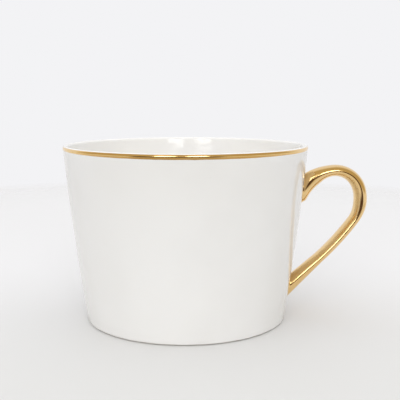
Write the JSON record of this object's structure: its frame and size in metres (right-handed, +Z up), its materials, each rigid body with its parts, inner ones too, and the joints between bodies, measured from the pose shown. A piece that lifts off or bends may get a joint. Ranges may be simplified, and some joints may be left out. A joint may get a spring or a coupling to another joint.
{
  "type": "teacup",
  "caption": "Straight-sided white porcelain teacup with a thin gold line round its lip and a gilded strap handle like half a heart, on a bare foot ring.",
  "frame": {"origin": "on the cup's axis, in the plane of its foot ring", "axes": "+Z up along the cup's axis, +X out through the middle of the handle"},
  "size_m": [0.111, 0.0884, 0.0636],
  "materials": {
    "bare_porcelain": "fired, unglazed and fine-grained",
    "white_glaze": "glossy clear glaze over white porcelain",
    "bright_gold": "bright liquid gold fired on, mirror smooth with faint brush marks"
  },
  "bodies": {
    "root": {"cup_body": "bare_porcelain", "handle_core": "bare_porcelain", "upper_slip_joint": "bare_porcelain", "lower_slip_joint": "bare_porcelain", "outer_glaze": "white_glaze", "inner_glaze": "white_glaze", "underside_glaze": "white_glaze", "handle_glaze": "white_glaze", "rim_gilding": "bright_gold", "handle_gilding": "bright_gold"}
  },
  "joints": []
}
